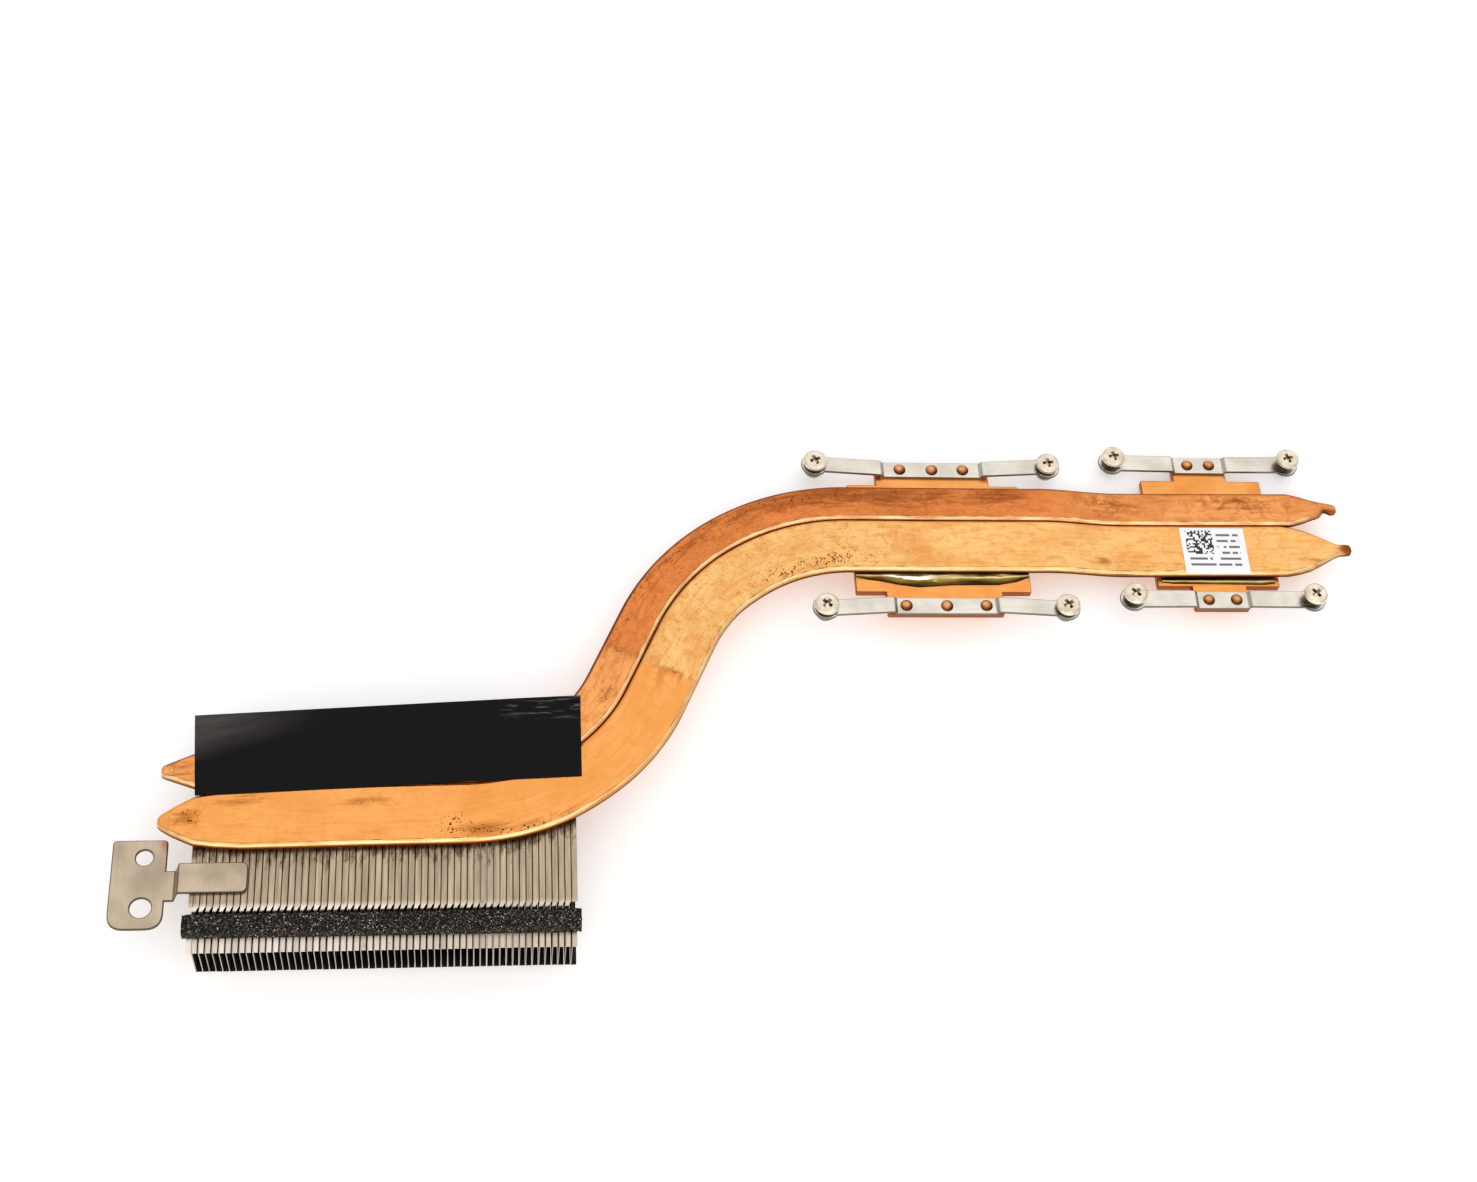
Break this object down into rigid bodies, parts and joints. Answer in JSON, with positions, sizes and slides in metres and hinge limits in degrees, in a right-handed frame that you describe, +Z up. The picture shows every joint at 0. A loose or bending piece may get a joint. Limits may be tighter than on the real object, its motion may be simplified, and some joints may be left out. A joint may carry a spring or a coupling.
{
  "type": "laptop cpu heatsink",
  "caption": "Flat laptop heatsink: two flattened copper heat pipes bend from a folded fin stack over two copper cold plates with riveted spring arms and captive screws.",
  "frame": {"origin": "under the middle of the part's outline, level with the underside of the fin stack", "axes": "+X along the fin row and the pipes' straight runs, from the fins to the pipes' pinched tails; +Y from the fin row's foam side to its tape side; +Z up, from the cold plates' contact faces to the pipes"},
  "size_m": [0.241, 0.1072, 0.0137],
  "materials": {
    "copper_pipe": "drawn copper, flattened, lightly tarnished",
    "copper_plate": "stamped copper sheet, satin",
    "copper_rivet": "peened copper",
    "nickel_fin": "nickel-plated folded sheet",
    "bracket_steel": "stamped sheet steel",
    "spring_steel": "stamped stainless spring strip",
    "nickel_screw": "nickel-plated",
    "ring_steel": "plain",
    "foam": "open-cell foam",
    "tape": "black film tape, satin",
    "sticker": "matt white label",
    "solder": "reflowed solder with flux tint"
  },
  "bodies": {
    "root": {"black_tape": "tape", "fin_stack": "nickel_fin", "foam_strip": "foam", "label": "sticker", "large_heat_pipe": "copper_pipe", "mounting_bracket": "bracket_steel", "narrow_cold_plate": "copper_plate", "narrow_far_arm": "spring_steel", "narrow_far_rivet_1": "copper_rivet", "narrow_far_rivet_2": "copper_rivet", "narrow_near_arm": "spring_steel", "narrow_near_rivet_1": "copper_rivet", "narrow_near_rivet_2": "copper_rivet", "narrow_solder_bead": "solder", "small_heat_pipe": "copper_pipe", "wide_cold_plate": "copper_plate", "wide_far_arm": "spring_steel", "wide_far_rivet_1": "copper_rivet", "wide_far_rivet_2": "copper_rivet", "wide_far_rivet_3": "copper_rivet", "wide_near_arm": "spring_steel", "wide_near_rivet_1": "copper_rivet", "wide_near_rivet_2": "copper_rivet", "wide_near_rivet_3": "copper_rivet", "wide_solder_bead": "solder"},
    "wide_near_left_fastener": {"wide_near_left_screw": "nickel_screw", "wide_near_left_ring": "ring_steel"},
    "wide_near_right_fastener": {"wide_near_right_screw": "nickel_screw", "wide_near_right_ring": "ring_steel"},
    "wide_far_left_fastener": {"wide_far_left_screw": "nickel_screw", "wide_far_left_ring": "ring_steel"},
    "wide_far_right_fastener": {"wide_far_right_screw": "nickel_screw", "wide_far_right_ring": "ring_steel"},
    "narrow_near_left_fastener": {"narrow_near_left_screw": "nickel_screw", "narrow_near_left_ring": "ring_steel"},
    "narrow_near_right_fastener": {"narrow_near_right_screw": "nickel_screw", "narrow_near_right_ring": "ring_steel"},
    "narrow_far_left_fastener": {"narrow_far_left_screw": "nickel_screw", "narrow_far_left_ring": "ring_steel"},
    "narrow_far_right_fastener": {"narrow_far_right_screw": "nickel_screw", "narrow_far_right_ring": "ring_steel"}
  },
  "joints": [
    {"name": "wide_near_left_turn", "type": "hinge", "parent": "root", "child": "wide_near_left_fastener", "pos_m": [0.01004, 0.01471, 0.0126], "axis": [0, 0, 1], "continuous": true},
    {"name": "wide_near_right_turn", "type": "hinge", "parent": "root", "child": "wide_near_right_fastener", "pos_m": [0.05814, 0.01471, 0.0126], "axis": [0, 0, 1], "continuous": true},
    {"name": "wide_far_left_turn", "type": "hinge", "parent": "root", "child": "wide_far_left_fastener", "pos_m": [0.01004, 0.04851, 0.0126], "axis": [0, 0, 1], "continuous": true},
    {"name": "wide_far_right_turn", "type": "hinge", "parent": "root", "child": "wide_far_right_fastener", "pos_m": [0.05814, 0.04851, 0.0126], "axis": [0, 0, 1], "continuous": true},
    {"name": "narrow_near_left_turn", "type": "hinge", "parent": "root", "child": "narrow_near_left_fastener", "pos_m": [0.07254, 0.01791, 0.0119], "axis": [0, 0, 1], "continuous": true},
    {"name": "narrow_near_right_turn", "type": "hinge", "parent": "root", "child": "narrow_near_right_fastener", "pos_m": [0.11004, 0.01791, 0.0119], "axis": [0, 0, 1], "continuous": true},
    {"name": "narrow_far_left_turn", "type": "hinge", "parent": "root", "child": "narrow_far_left_fastener", "pos_m": [0.07254, 0.05091, 0.0119], "axis": [0, 0, 1], "continuous": true},
    {"name": "narrow_far_right_turn", "type": "hinge", "parent": "root", "child": "narrow_far_right_fastener", "pos_m": [0.11004, 0.05091, 0.0119], "axis": [0, 0, 1], "continuous": true}
  ]
}
